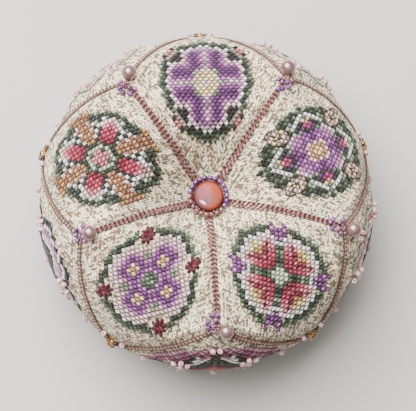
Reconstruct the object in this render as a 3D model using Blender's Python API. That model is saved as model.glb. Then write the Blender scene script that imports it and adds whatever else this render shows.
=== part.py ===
"""Biscornu pincushion, modelled as its sewn and stuffed solids.

The cushion is sewn from fifteen equal squares of linen. Five squares meet under the
button and are drawn in there, five stand on a corner round the side, and five close
the base. Every seam is a valley between puffed panels. Beads sit where seams meet.

Units are metres, +Z is up, the cushion stands on the plane Z = 0. The object is built
about its own axis with the widest ring at Z = 0, and an empty then sets it down.
"""

import math

import bmesh
import bpy
import numpy as np
from mathutils import Vector
from mathutils.bvhtree import BVHTree

MM = 0.001

# One square: cross-stitches over two threads of 32-count linen, thirty to a side
STITCH = 25.4 * MM / 16
SIDE = 30 * STITCH
FOLDS = 5

# Where the corners of the squares come to lie once the cushion is full
POLE_Z = 0.269 * SIDE
PEARL_R = 0.932 * SIDE
PEARL_Z = 0.597 * SIDE
GOLD_R = 1.2 * SIDE
FIRST_PEARL = math.radians(-90)
FIRST_GOLD = math.radians(-54)
TURN = 2 * math.pi / FOLDS

# How far the filling pushes seams and panels out from straight
POLE_SEAM_RISE = 4.0 * MM
POLE_SEAM_LATE_RISE = 1.6 * MM
SIDE_SEAM_BOW = 3.9 * MM
SIDE_SEAM_RISE = 1.3 * MM
TOP_CROWN = 6.0 * MM
SIDE_CROWN = 3.5 * MM
PUFF_POWER = 0.6
FLOOR_Z = -0.593 * SIDE

# The button presses the cloth flat and the cloth rises round it
PRESS_R = 7.4 * MM
PRESS_SLOPE = 0.95

# Beads and button
GAP = 0.3 * MM
BUTTON_R = 5.1 * MM
BUTTON_H = 3.2 * MM
PEARL_BEAD_R = 2.45 * MM
SEED_R = 0.8 * MM
RING_BEADS = 22
CLUSTER_BEADS = 4
NECK = 0.88
PEARL_LEAN = math.radians(42)
# A pearl and its purple beads share a corner, the pearl beside it by this much; the purple
# beads lie in these directions from the pearls, seen from above, in degrees
PEARL_ASIDE = 2.4 * MM
PURPLE_SIDES = (167, 169, 269, 232, 181)

PANEL_STEPS = 12
SEAM_ANGLE = math.radians(32)
BEAD_SIDES = 8
BEAD_SAMPLES = (-1.0, -0.55, 0.0, 0.55)


def clear_scene():
    for obj in list(bpy.data.objects):
        bpy.data.objects.remove(obj, do_unlink=True)


def linear(code):
    """Linear RGBA from an sRGB hex code."""
    channels = [int(code[i:i + 2], 16) / 255 for i in (1, 3, 5)]
    return [c / 12.92 if c <= 0.04045 else ((c + 0.055) / 1.055) ** 2.4 for c in channels] + [1.0]


def material(name, code, roughness, metallic=0.0):
    mat = bpy.data.materials.new(name)
    mat.use_nodes = True
    shader = mat.node_tree.nodes["Principled BSDF"]
    shader.inputs["Base Color"].default_value = linear(code)
    shader.inputs["Roughness"].default_value = roughness
    shader.inputs["Metallic"].default_value = metallic
    return mat


def add_object(name, bm, mat, parent, location=(0, 0, 0)):
    mesh = bpy.data.meshes.new(name)
    bm.to_mesh(mesh)
    bm.free()
    mesh.shade_smooth()
    mesh.set_sharp_from_angle(angle=SEAM_ANGLE)
    mesh.materials.append(mat)
    obj = bpy.data.objects.new(name, mesh)
    obj.location = location
    obj.parent = parent
    bpy.context.scene.collection.objects.link(obj)
    return obj


def polar(radius, azimuth, z):
    return np.array([radius * math.cos(azimuth), radius * math.sin(azimuth), z])


def pearl_corner(k):
    return polar(PEARL_R, FIRST_PEARL + k * TURN, PEARL_Z)


def gold_corner(k):
    return polar(GOLD_R, FIRST_GOLD + k * TURN, 0.0)


def chord(start, end, t):
    return start + t[:, None] * (end - start)


def pole_seam(k, t):
    """Seam from the pole to pearl k: a straight line that the filling lifts, more so near its end."""
    line = chord(np.array([0.0, 0.0, POLE_Z]), pearl_corner(k), t)
    line[:, 2] += 4 * t * (1 - t) * (POLE_SEAM_RISE + POLE_SEAM_LATE_RISE * (2 * t - 1))
    return line


def side_seam(k, gold, t):
    """Seam from pearl k down to a gold corner, bowed outwards over pearl k's side panel."""
    bow = polar(SIDE_SEAM_BOW, FIRST_PEARL + k * TURN, SIDE_SEAM_RISE)
    return chord(pearl_corner(k), gold_corner(gold), t) + (4 * t * (1 - t))[:, None] * bow


def panel_steps():
    """Places across a panel, closer together near its seams."""
    even = np.linspace(0, 1, PANEL_STEPS + 1)
    return 0.5 * even + 0.25 * (1 - np.cos(math.pi * even))


def puffed_panel(along_u, along_u_far, along_v, along_v_far, crown):
    """Grid of one panel: a Coons patch between its four seams, raised along its normal.

    S(u, v) = (1-v) a(u) + v b(u) + (1-u) c(v) + u d(v) - bilinear(corners),
    and the filling adds crown * (16 u v (1-u) (1-v)) ** PUFF_POWER.
    """
    t = panel_steps()
    u, v = np.meshgrid(t, t, indexing="ij")
    u, v = u[..., None], v[..., None]
    p00, p10, p01, p11 = along_u[0], along_u[-1], along_u_far[0], along_u_far[-1]
    ruled = (1 - v) * along_u[:, None] + v * along_u_far[:, None] + (1 - u) * along_v[None] + u * along_v_far[None]
    corners = (1 - u) * (1 - v) * p00 + u * (1 - v) * p10 + (1 - u) * v * p01 + u * v * p11
    normal = np.cross(p11 - p00, p01 - p10)
    normal = normal / np.linalg.norm(normal)
    puff = (16 * u * v * (1 - u) * (1 - v)) ** PUFF_POWER
    return ruled - corners + crown * puff * normal


def top_panel(k):
    t = panel_steps()
    after = (k + 1) % FOLDS
    grid = puffed_panel(pole_seam(k, t), side_seam(after, k, t), pole_seam(after, t), side_seam(k, k, t), TOP_CROWN)
    return press_for_button(grid)


def side_panel(k):
    """Square on its corner: pearl k above, its mirror image below, gold corners left and right."""
    t = panel_steps()
    left, right = side_seam(k, k - 1, t), side_seam(k, k, t)
    mirror = np.array([1, 1, -1])
    return rest_on_table(puffed_panel(left, right[::-1] * mirror, right, left[::-1] * mirror, SIDE_CROWN))


def press_for_button(grid):
    """Hold the cloth down to the pole's level under the button and along a slope round it."""
    out = np.hypot(grid[..., 0], grid[..., 1])
    ceiling = POLE_Z + PRESS_SLOPE * np.maximum(0, out - PRESS_R)
    grid[..., 2] = np.minimum(grid[..., 2], ceiling)
    return grid


def rest_on_table(grid):
    """Flatten the cloth where the cushion's weight lies on it."""
    grid[..., 2] = np.maximum(grid[..., 2], FLOOR_Z)
    return grid


def base_panel(k):
    """Mirror image of a top panel, without a button."""
    t = panel_steps()
    after = (k + 1) % FOLDS
    grid = puffed_panel(pole_seam(k, t), side_seam(after, k, t), pole_seam(after, t), side_seam(k, k, t), TOP_CROWN)
    return rest_on_table(grid * np.array([1, 1, -1])).transpose(1, 0, 2)


def build_cushion(parent):
    bm = bmesh.new()
    for make_panel in (top_panel, side_panel, base_panel):
        for k in range(FOLDS):
            grid = make_panel(k)
            rows = [[bm.verts.new(point) for point in row] for row in grid]
            for a, b in zip(rows, rows[1:]):
                for i in range(len(a) - 1):
                    bm.faces.new((a[i], b[i], b[i + 1], a[i + 1]))
    bmesh.ops.remove_doubles(bm, verts=bm.verts, dist=0.001 * MM)
    return add_object("cushion", bm, material("linen", "#DDD5C3", 0.85), parent)


def tree_of(obj):
    """Search tree of an object's surface in the coordinates of its parent."""
    mesh = obj.data
    points = [obj.location + v.co for v in mesh.vertices]
    return BVHTree.FromPolygons(points, [p.vertices for p in mesh.polygons])


def lift_clear(obj, direction, cloth):
    """Move an object outwards until its nearest vertex stands GAP above the cloth."""
    direction = direction.normalized()
    step = 0.02 * MM
    while min(signed_height(obj.location + v.co, cloth) for v in obj.data.vertices) < GAP:
        obj.location += direction * step
    return obj


def signed_height(point, cloth):
    """Distance above the cloth, negative inside it."""
    near, normal, _, distance = cloth.find_nearest(point)
    return distance if (point - near).dot(normal) > 0 else -distance


def rest_point(start, inwards, radius, cloth):
    """Centre of a bead of this radius that is pushed onto the cloth from outside."""
    hit, normal, _, _ = cloth.ray_cast(start, inwards)
    point = hit + normal * (radius + GAP)
    for _ in range(12):
        near, _, _, distance = cloth.find_nearest(point)
        if distance >= radius + GAP:
            break
        point += (point - near).normalized() * (radius + GAP - distance)
    return point


def turned(bm, profile, sides):
    """Solid of revolution about +Z from a profile of (radius, height) that starts and ends on the axis."""
    bottom = bm.verts.new((0, 0, profile[0][1]))
    top = bm.verts.new((0, 0, profile[-1][1]))
    rings = []
    for radius, z in profile[1:-1]:
        rings.append([bm.verts.new(polar(radius, 2 * math.pi * i / sides, z)) for i in range(sides)])
    for i in range(sides):
        j = (i + 1) % sides
        bm.faces.new((bottom, rings[0][j], rings[0][i]))
        bm.faces.new((top, rings[-1][i], rings[-1][j]))
        for low, high in zip(rings, rings[1:]):
            bm.faces.new((low[i], low[j], high[j], high[i]))


def bead_tube(bm, centres, tangents, radii, outs, closed):
    """Bumped tube through the given centres; an open one ends in a point at each end."""
    rings = []
    for centre, tangent, radius, out in zip(centres, tangents, radii, outs):
        side = tangent.cross(out).normalized()
        up = side.cross(tangent).normalized()
        ring = []
        for i in range(BEAD_SIDES):
            turn = 2 * math.pi * i / BEAD_SIDES
            ring.append(bm.verts.new(centre + radius * (math.cos(turn) * side + math.sin(turn) * up)))
        rings.append(ring)
    pairs = list(zip(rings, rings[1:]))
    if closed:
        pairs.append((rings[-1], rings[0]))
    for a, b in pairs:
        for i in range(BEAD_SIDES):
            j = (i + 1) % BEAD_SIDES
            bm.faces.new((a[i], b[i], b[j], a[j]))
    if not closed:
        bm.faces.new(rings[0])
        bm.faces.new(rings[-1][::-1])


def bead_radius(x):
    """Radius of a seed bead at x, from -1 to 1 along its thread hole."""
    return SEED_R * math.sqrt(1 - (NECK * x) ** 2)


def bead_loop(bm, beads, ring_r):
    """Beads threaded in a closed loop of radius ring_r about +Z."""
    centres, tangents, radii, outs = [], [], [], []
    for n in range(beads):
        for x in BEAD_SAMPLES:
            turn = 2 * math.pi * (n + 0.5 * x) / beads
            centres.append(Vector(polar(ring_r, turn, 0)))
            tangents.append(Vector((-math.sin(turn), math.cos(turn), 0)))
            outs.append(Vector((0, 0, 1)))
            radii.append(bead_radius(x))
    bead_tube(bm, centres, tangents, radii, outs, True)


def build_button(parent, cloth):
    dome_steps = 6
    edge_z = 0.42 * BUTTON_H
    profile = [(0, 0), (0.86 * BUTTON_R, 0), (0.97 * BUTTON_R, 0.12 * BUTTON_H), (BUTTON_R, 0.3 * BUTTON_H)]
    for n in range(dome_steps + 1):
        turn = 0.5 * math.pi * n / dome_steps
        profile.append((BUTTON_R * math.cos(turn) if n < dome_steps else 0,
                        edge_z + (BUTTON_H - edge_z) * math.sin(turn)))
    bm = bmesh.new()
    turned(bm, profile, 28)
    button = add_object("button", bm, material("salmon_glass", "#D98F84", 0.12), parent, (0, 0, POLE_Z))
    return lift_clear(button, Vector((0, 0, 1)), cloth)


def build_button_beads(parent, cloth):
    ring_r = BUTTON_R + GAP + SEED_R
    bm = bmesh.new()
    bead_loop(bm, RING_BEADS, ring_r)
    ring = add_object("button_beads", bm, material("purple_bead", "#6F4690", 0.2), parent, (0, 0, POLE_Z + SEED_R))
    return lift_clear(ring, Vector((0, 0, 1)), cloth)


def pearl_outwards(k):
    azimuth = FIRST_PEARL + k * TURN
    return Vector(polar(math.cos(PEARL_LEAN), azimuth, math.sin(PEARL_LEAN)))


def towards_purple(k):
    """Direction square to the corner's outward one that points from pearl k to its purple beads."""
    out = pearl_outwards(k)
    level = Vector(polar(1, math.radians(PURPLE_SIDES[k]), 0))
    return (level - Vector((0, 0, level.dot(out) / out.z))).normalized()


def build_pearl(k, mat, parent, cloth):
    out = pearl_outwards(k)
    bm = bmesh.new()
    bmesh.ops.create_uvsphere(bm, u_segments=16, v_segments=10, radius=PEARL_BEAD_R)
    above = Vector(pearl_corner(k)) - towards_purple(k) * PEARL_ASIDE + out * 8 * MM
    return add_object(f"pearl_{k + 1}", bm, mat, parent, rest_point(above, -out, PEARL_BEAD_R, cloth))


def build_purple_arc(name, pearl, out, middle, ring_r, beads, mat, parent, cloth):
    """Short string of seed beads laid on the cloth in an arc about a pearl."""
    sideways = out.cross(middle)
    pitch = 2 * SEED_R / ring_r

    def centre(place):
        turn = pitch * place
        offset = ring_r * (math.cos(turn) * middle + math.sin(turn) * sideways)
        return rest_point(pearl.location + offset + out * 6 * MM, -out, SEED_R, cloth)

    places = [n - 0.5 * (beads - 1) + 0.5 * x for n in range(beads) for x in BEAD_SAMPLES]
    samples = [x for n in range(beads) for x in BEAD_SAMPLES]
    places.append(0.5 * beads)
    samples.append(1.0)
    centres = [centre(place) for place in places]
    tangents = []
    for n in range(len(centres)):
        before, after = centres[max(n - 1, 0)], centres[min(n + 1, len(centres) - 1)]
        tangents.append((after - before).normalized())
    bm = bmesh.new()
    bead_tube(bm, centres, tangents, [bead_radius(x) for x in samples], [out] * len(centres), False)
    return add_object(name, bm, mat, parent)


def build_purple_beads(k, pearl, mat, parent, cloth):
    out = pearl_outwards(k)
    middle = towards_purple(k)
    inner_r = PEARL_BEAD_R + SEED_R + 2 * GAP
    outer_r = inner_r + 2 * SEED_R + GAP
    return [
        build_purple_arc(f"purple_beads_{k + 1}_inner", pearl, out, middle, inner_r, 4, mat, parent, cloth),
        build_purple_arc(f"purple_beads_{k + 1}_outer", pearl, out, middle, outer_r, 3, mat, parent, cloth),
    ]


def build_gold_cluster(k, mat, parent, cloth):
    """Loop of gold-lined beads that stands face out on an equator corner."""
    out = Vector(polar(1, FIRST_GOLD + k * TURN, 0))
    bm = bmesh.new()
    bead_loop(bm, CLUSTER_BEADS, 2 * SEED_R / math.sqrt(2))
    turn = out.to_track_quat("Z", "Y").to_matrix().to_4x4()
    bmesh.ops.transform(bm, matrix=turn, verts=bm.verts)
    cluster = add_object(f"gold_beads_{k + 1}", bm, mat, parent, Vector(gold_corner(k)) + out * SEED_R)
    return lift_clear(cluster, out, cloth)


def set_down(pieces, parent):
    """Put the middle of the bounding box over the origin, with the base on Z = 0."""
    ys = [(obj.location + v.co).y for obj in pieces for v in obj.data.vertices]
    parent.location = (0, -0.5 * (min(ys) + max(ys)), -FLOOR_Z)


def main():
    clear_scene()
    parent = bpy.data.objects.new("biscornu", None)
    bpy.context.scene.collection.objects.link(parent)
    cushion = build_cushion(parent)
    cloth = tree_of(cushion)
    pieces = [cushion, build_button(parent, cloth), build_button_beads(parent, cloth)]
    pearl = material("pearl", "#D9B3AE", 0.2)
    purple = bpy.data.materials["purple_bead"]
    gold = material("gold_lined_bead", "#8A6428", 0.2)
    for k in range(FOLDS):
        bead = build_pearl(k, pearl, parent, cloth)
        pieces.append(bead)
        pieces += build_purple_beads(k, bead, purple, parent, cloth)
        pieces.append(build_gold_cluster(k, gold, parent, cloth))
    set_down(pieces, parent)


main()
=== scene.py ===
"""Biscornu pincushion: cloth, embroidery, sewn seams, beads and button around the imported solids.

Units are metres and +Z is up. The cushion is sewn from fifteen squares of evenweave linen,
thirty cross-stitches to a side. A place on a square is given by (u, v), from 0 to 1 along
its two edges, or in stitches. Squares 0 to 4 are the top, 5 to 9 the side, 10 to 14 the base.
"""

import math
from functools import partial

import bpy
import numpy as np
from mathutils import Matrix, Vector
from mathutils.bvhtree import BVHTree


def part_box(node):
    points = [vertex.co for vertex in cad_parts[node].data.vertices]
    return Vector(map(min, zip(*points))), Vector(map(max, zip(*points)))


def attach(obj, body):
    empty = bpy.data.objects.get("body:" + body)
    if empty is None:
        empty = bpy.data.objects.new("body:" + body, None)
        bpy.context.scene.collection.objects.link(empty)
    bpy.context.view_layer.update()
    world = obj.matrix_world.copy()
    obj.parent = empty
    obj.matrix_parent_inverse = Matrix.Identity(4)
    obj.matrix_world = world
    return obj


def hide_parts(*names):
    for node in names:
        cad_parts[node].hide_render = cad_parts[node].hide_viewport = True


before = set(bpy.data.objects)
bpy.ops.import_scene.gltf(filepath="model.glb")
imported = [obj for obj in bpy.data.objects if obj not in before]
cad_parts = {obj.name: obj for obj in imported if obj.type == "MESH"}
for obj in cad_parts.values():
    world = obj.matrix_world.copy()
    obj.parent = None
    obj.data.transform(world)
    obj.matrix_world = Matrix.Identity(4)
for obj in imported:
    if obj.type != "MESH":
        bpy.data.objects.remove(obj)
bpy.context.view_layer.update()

MM = 0.001

# One square: cross-stitches over two threads of 32-count linen, thirty to a side
STITCH = 25.4 * MM / 16
STITCHES = 30
THREADS = 2 * STITCHES
SIDE = STITCHES * STITCH
FOLDS = 5
TURN = 2 * math.pi / FOLDS

# Corners of the squares once the cushion is full, as in the solids
POLE_Z = 0.269 * SIDE
PEARL_R = 0.932 * SIDE
PEARL_Z = 0.597 * SIDE
GOLD_R = 1.2 * SIDE
FIRST_PEARL = math.radians(-90)
FIRST_GOLD = math.radians(-54)
FLOOR_Z = -0.593 * SIDE

# How far the filling pushes seams and panels out from straight
POLE_SEAM_RISE = 4.0 * MM
POLE_SEAM_LATE_RISE = 1.6 * MM
SIDE_SEAM_BOW = 3.9 * MM
SIDE_SEAM_RISE = 1.3 * MM
TOP_CROWN = 6.0 * MM
SIDE_CROWN = 3.5 * MM
PUFF_POWER = 0.6
PRESS_R = 7.4 * MM
PRESS_SLOPE = 0.95

# The middle of the cushion at its widest ring, in the row frame, right under the button
BUTTON_LOW, BUTTON_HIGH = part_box("button")
AXIS = np.array([*(0.5 * (BUTTON_LOW + BUTTON_HIGH)).xy, -FLOOR_Z])

# How the threads of a square lie once it is full: their true count in its middle, which on the
# top and the base is a little nearer the pole, and the slack at the seams
EASE = 0.95
TOWARDS_POLE = (0.020, -0.006, 0.022, -0.002, 0.022)

# Steps to a side of the finished surface and of the cloth pass, and how far the filling may move
# the cloth. Cloth this near the table is held on it.
SURFACE_STEPS = 60
CLOTH_STEPS = 30
CLOTH_FRAMES = 20
CLOTH_CAP = 1.1 * MM
ON_TABLE = 0.5 * MM
CLOTH_SETTINGS = {
    "vertex_group_mass": "held", "quality": 6, "mass": 0.2, "tension_stiffness": 18,
    "compression_stiffness": 12, "shear_stiffness": 6, "bending_stiffness": 0.4,
    "shrink_min": -0.03, "use_pressure": True, "uniform_pressure_force": 4,
}
# The seams of the base lie in a shallow groove, clear of the table
GROOVE_DEPTH = 0.9 * MM
GROOVE_WIDTH = 1.6 * MM

SEED_R = 0.8 * MM
PALE_SEED_R = 0.9 * MM
PEARL_BEAD_R = 2.45 * MM
GAP = 0.3 * MM
# Seeds come down onto the cloth from this far out
SEED_DROP = 6 * MM
RING_BEADS = 22
# Painted shade: beads of the ring on the lower side of the button are tinted rose brown
RING_SHADE_TINT = (1.5, 1.8, 0.36)
PEARL_LEAN = math.radians(42)
# The button's glass: its streaks, 16 mm long and 2 mm wide, and the middle, turn and size of its
# painted highlight, a pale patch near the lower left, and of the disc inside its deeper rim
STREAK_SCALE = (60, 520, 60)
PAINTED_GLINT = ((AXIS[0] - 2.0 * MM, AXIS[1] - 2.3 * MM, BUTTON_HIGH.z), -35, (1.5 * MM, 0.6 * MM, 4.0 * MM))
DISC = ((AXIS[0], AXIS[1], BUTTON_HIGH.z), 0, (5.5 * MM, 5.5 * MM, 30 * MM))
# Directions from the pearls to their purple beads, seen from above, in degrees
PURPLE_SIDES = (167, 169, 269, 232, 181)

# Thread colours of stranded cotton, by chart letter
THREAD_COLOURS = {
    "k": "#20241A", "g": "#3E4E36", "l": "#75856A", "m": "#B8C2A4", "w": "#FFF9F2",
    "p": "#5A225C", "v": "#823C82", "y": "#B470A6", "i": "#EEC6D6",
    "z": "#A02C64", "r": "#86182E", "s": "#B83450", "t": "#DA7A84", "u": "#F6CCC4",
    "a": "#7E3E58", "h": "#A86C80", "c": "#F2D692", "o": "#BC884E", "b": "#985E44", "e": "#A4907A",
    "n": "#341C12", "x": "#161210", "d": "#4A0618",
}

# How unevenly the threads are dyed: the greens of the wreaths are variegated
DYE_SPREAD = 0.14
GREEN_SPREAD = 0.42
GREENS = "kgl"

# One eighth of each roundel, row after row. Row b holds the cells a = b, b + 1 and so on, counted
# from the middle of the square, so the first cell of each row lies on the diagonal.
PURPLE_FLOWER = "ucclpvyuxxet cuvppvyuxex myvppviwg. lyvppikg. uyvywkl. iyikg.. iwgl.. kg... l..."
ROSEBUDS = "ttmkobobobob gmgk.b.b.bo krrkwkwkgo rsskwlkg. sstwkgl. stuwk.. tulg.. ukl.. g..."
VIOLETS = "lgyvyleu..r. yvpvyuu.... vcvvyuu.gl ocpviukg. vvyuukl. yiuwg.. iukg.. wgl.. l..."
LILIES = "mmgkglgwyvv. krrsstuwpyv rsstttu.g. trrtuwkg. oocuwgl. ccwkg.. mwgl.. kg... l..."
STAR_FLOWER = "couvyyieucue uvyvymkecu. pvvlkmlkg. pkpkwlgk. zzkwkgl. tcwgk.. lwkg.. gl... k..."
ROSE_GARLAND = (
    "cotsrkgkwxkaah otsrkgkwxkahe tsrkgkwkxaah srkgkwwxaah rkgkwwxkah lkgwtwah "
    "gkwtxah lxtah xkah ah h"
)
LILAC_WREATH = "couyvkgkiwk. uyvkgkwiwxk yvkgkwiywk. vkgkwiywx. kgkwiywk. gkwiywk. wiywx.. iywk.. k..."
ROSE_WREATH = "cotsrkgktum. otsrkgkutum tsrkgkwutm. srkgkwutm. kgkwutum. gkwutum. mutum.. utum.. m..."
TOP_CHARTS = (LILIES, STAR_FLOWER, PURPLE_FLOWER, ROSEBUDS, VIOLETS)
SIDE_CHARTS = (ROSE_GARLAND, ROSE_WREATH, ROSE_WREATH, ROSE_WREATH, LILAC_WREATH)

# Straight stitches of each top roundel, in stitches from its middle: colour and two ends. BOLD
# marks those of thicker thread, among them the rays of the stars by the star flower.
BOLD = "d"
LILY_LINES = ((BOLD, 3.0, 3.0, 7.6, 3.0), ("x", 8.3, 0.0, 10.9, 0.0), ("x", 8.3, 0.0, 7.5, 0.8))
LEAF_LINES = (
    ("n", 6.9, 0.0, 7.8, 1.5), ("n", 7.8, 1.5, 9.5, 2.2), ("n", 9.5, 2.2, 11.2, 1.4),
    ("n", 11.2, 1.4, 12.1, 0.0), ("n", 8.2, 0.0, 11.2, 0.0), ("n", 9.0, 0.0, 10.0, 1.2),
)
STAR_AT = 10.3
STAR_OPEN = 0.15
STAR_RAY = 2.0
STAR_LINES = tuple(
    (BOLD, STAR_AT + STAR_OPEN * math.cos(turn), STAR_OPEN * math.sin(turn),
     STAR_AT + STAR_RAY * math.cos(turn), STAR_RAY * math.sin(turn))
    for turn in [math.pi * n / 4 for n in range(5)]
)
TOP_LINES = (LILY_LINES, LEAF_LINES, (), (), STAR_LINES)

# Threads of the seams on top, and of those round the rim and below: the colour and half the width,
# in millimetres, of the backstitches, the whipping and the short stitches across each backstitch
TOP_SEAM = (("#AE8076", 0.45), ("#8A4C46", 0.47), ("#421816", 0.32))
RIM_SEAM = (("#785444", 0.25), ("#BC9682", 0.4), ("#7A5040", 0.2))
# How far the whipping slants, as a share of one stitch at the distance of the backstitches
SLANT = 0.42

RANDOM = np.random.default_rng(11)


# Cushion surface

def polar(radius, azimuth, z):
    return np.array([radius * math.cos(azimuth), radius * math.sin(azimuth), z])


def pearl_corner(k):
    return polar(PEARL_R, FIRST_PEARL + k * TURN, PEARL_Z)


def gold_corner(k):
    return polar(GOLD_R, FIRST_GOLD + k * TURN, 0.0)


def unit(vectors):
    return vectors / np.maximum(np.linalg.norm(vectors, axis=-1, keepdims=True), 1e-12)


def chord(start, end, t):
    return start + t[:, None] * (end - start)


def pole_seam(k, t):
    """Seam from the pole to pearl k: a straight line that the filling lifts, more so near its end."""
    line = chord(np.array([0.0, 0.0, POLE_Z]), pearl_corner(k), t)
    line[:, 2] += 4 * t * (1 - t) * (POLE_SEAM_RISE + POLE_SEAM_LATE_RISE * (2 * t - 1))
    return line


def side_seam(k, gold, t):
    """Seam from pearl k down to a gold corner, bowed outwards over pearl k's side panel."""
    bow = polar(SIDE_SEAM_BOW, FIRST_PEARL + k * TURN, SIDE_SEAM_RISE)
    return chord(pearl_corner(k), gold_corner(gold), t) + (4 * t * (1 - t))[:, None] * bow


def puffed_panel(along_u, along_u_far, along_v, along_v_far, crown):
    """Grid of one panel: a Coons patch between its four seams, raised along its normal.

    S(u, v) = (1-v) a(u) + v b(u) + (1-u) c(v) + u d(v) - bilinear(corners),
    and the filling adds crown * (16 u v (1-u) (1-v)) ** PUFF_POWER.
    """
    t = np.linspace(0, 1, len(along_u))
    u, v = np.meshgrid(t, t, indexing="ij")
    u, v = u[..., None], v[..., None]
    p00, p10, p01, p11 = along_u[0], along_u[-1], along_u_far[0], along_u_far[-1]
    ruled = (1 - v) * along_u[:, None] + v * along_u_far[:, None]
    ruled = ruled + (1 - u) * along_v[None] + u * along_v_far[None]
    corners = (1 - u) * (1 - v) * p00 + u * (1 - v) * p10 + (1 - u) * v * p01 + u * v * p11
    normal = unit(np.cross(p11 - p00, p01 - p10))
    puff = np.abs(16 * u * v * (1 - u) * (1 - v)) ** PUFF_POWER
    return ruled - corners + crown * puff * normal


def top_grid(k, t):
    edges = pole_seam(k, t), side_seam(k + 1, k, t), pole_seam(k + 1, t), side_seam(k, k, t)
    return puffed_panel(*edges, TOP_CROWN)


def side_grid(k, t):
    """Square on its corner: pearl k above, its mirror image below, gold corners left and right."""
    left, right = side_seam(k, k - 1, t), side_seam(k, k, t)
    mirror = np.array([1, 1, -1])
    return puffed_panel(left, right[::-1] * mirror, right, left[::-1] * mirror, SIDE_CROWN)


def press_for_button(grid):
    """Hold the cloth down to the pole's level under the button and along a slope round it."""
    out = np.hypot(grid[..., 0], grid[..., 1])
    grid[..., 2] = np.minimum(grid[..., 2], POLE_Z + PRESS_SLOPE * np.maximum(0, out - PRESS_R))
    return grid


def cushion_grids(steps):
    """All fifteen panels as one array (panel, u, v, xyz) in the row frame, lying on the table."""
    t = np.linspace(0, 1, steps + 1)
    top = [press_for_button(top_grid(k, t)) for k in range(FOLDS)]
    side = [side_grid(k, t) for k in range(FOLDS)]
    base = [(top_grid(k, t) * np.array([1, 1, -1])).transpose(1, 0, 2) for k in range(FOLDS)]
    grids = np.stack(top + side + base)
    grids[FOLDS:, ..., 2] = np.maximum(grids[FOLDS:, ..., 2], FLOOR_Z)
    return grids + AXIS


def weld(grids):
    """One vertex for each place that panels share, and the vertex number of every grid point."""
    flat = grids.reshape(-1, 3)
    keys = np.round(flat / (0.01 * MM)).astype(np.int64)
    _, first, number = np.unique(keys, axis=0, return_index=True, return_inverse=True)
    faces = grids.shape[0] * (grids.shape[1] - 1) ** 2
    if len(first) != faces + 2:
        raise ValueError("the panels' seams don't close")
    return flat[first], number.reshape(grids.shape[:3])


def grid_faces(number):
    """Four-sided faces between neighbouring grid points, seen from outside."""
    near, far = number[:, :-1], number[:, 1:]
    return np.stack([near[..., :-1], far[..., :-1], far[..., 1:], near[..., 1:]], -1).reshape(-1, 4)


def finer(grids, steps):
    """The same field on a finer grid, by cubic interpolation along u and then along v.

    Between four neighbours a, b, c, d at 0 <= f <= 1 from b to c the value is
    b + f/2 (c - a + f (2a - 5b + 4c - d + f (3 (b - c) + d - a))).
    """
    for axis in (1, 2):
        n = grids.shape[axis] - 1
        x = np.linspace(0, n, steps + 1)
        cell = np.minimum(x.astype(int), n - 1)
        f = (x - cell).reshape([-1 if i == axis else 1 for i in range(4)])
        a, b, c, d = (np.take(grids, np.clip(cell + s, 0, n), axis) for s in (-1, 0, 1, 2))
        grids = b + f / 2 * (c - a + f * (2 * a - 5 * b + 4 * c - d + f * (3 * (b - c) + d - a)))
    return grids


def normals_of(grids):
    """Outward unit normals: the cross product of the grid's two directions."""
    return unit(np.cross(np.gradient(grids, axis=1), np.gradient(grids, axis=2)))


def settle_cloth(grids):
    """How Blender's cloth moves when the filling presses from inside, capped at CLOTH_CAP.

    Seams with the row of stitches beside them, the cloth under the button and the cloth on the
    table are held. The cloth is cut a little larger than the form, so that it gathers beside
    the seams.
    """
    points, number = weld(grids)
    mesh = bpy.data.meshes.new("cloth_pass")
    mesh.from_pydata(points.tolist(), [], grid_faces(number).tolist())
    obj = new_object("cloth_pass", mesh)
    held = np.zeros(len(points))
    for edge in (number[:, :2], number[:, -2:], number[:, :, :2], number[:, :, -2:]):
        held[edge.ravel()] = 1
    held[points[:, 2] < ON_TABLE] = 1
    near_button = np.hypot(points[:, 0] - AXIS[0], points[:, 1] - AXIS[1]) < PRESS_R
    held[near_button & (points[:, 2] > AXIS[2])] = 1
    group = obj.vertex_groups.new(name="held")
    group.add(np.flatnonzero(held).tolist(), 1.0, "REPLACE")
    cloth = obj.modifiers.new("cloth", "CLOTH")
    for key, value in CLOTH_SETTINGS.items():
        setattr(cloth.settings, key, value)
    cloth.settings.effector_weights.gravity = 0
    cloth.collision_settings.use_collision = False
    cloth.point_cache.frame_end = CLOTH_FRAMES
    for step in range(1, CLOTH_FRAMES + 1):
        bpy.context.scene.frame_set(step)
    settled = obj.evaluated_get(bpy.context.evaluated_depsgraph_get()).data
    moved = np.empty(3 * len(points), np.float32)
    settled.vertices.foreach_get("co", moved)
    move = moved.reshape(-1, 3) - points
    bpy.context.scene.frame_set(1)
    bpy.data.objects.remove(obj)
    move[held > 0] = 0
    move = without_swell(move[number], normals_of(grids))
    length = np.linalg.norm(move, axis=-1, keepdims=True)
    return move * CLOTH_CAP * np.tanh(length / CLOTH_CAP) / np.maximum(length, 1e-9)


def without_swell(move, normals):
    """Takes off the even swelling, which the form has already: the best fit of 16 u v (1-u) (1-v)."""
    t = np.linspace(0, 1, move.shape[1])
    swell = 16 * np.outer(t * (1 - t), t * (1 - t))
    for first in range(0, 3 * FOLDS, FOLDS):
        alike = slice(first, first + FOLDS)
        outward = (move[alike] * normals[alike]).sum(-1)
        share = (outward * swell).sum() / (FOLDS * (swell ** 2).sum())
        move[alike] -= share * swell[None, ..., None] * normals[alike]
    return move


# Mesh and material tools

MULTIPLIED = {"data_type": "RGBA", "blend_type": "MULTIPLY"}


def linear(code):
    """Linear RGBA from an sRGB hex code."""
    channels = [int(code[i:i + 2], 16) / 255 for i in (1, 3, 5)]
    return [c / 12.92 if c <= 0.04045 else ((c + 0.055) / 1.055) ** 2.4 for c in channels] + [1.0]


def new_object(name, data):
    obj = bpy.data.objects.new(name, data)
    bpy.context.scene.collection.objects.link(obj)
    return obj


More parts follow.
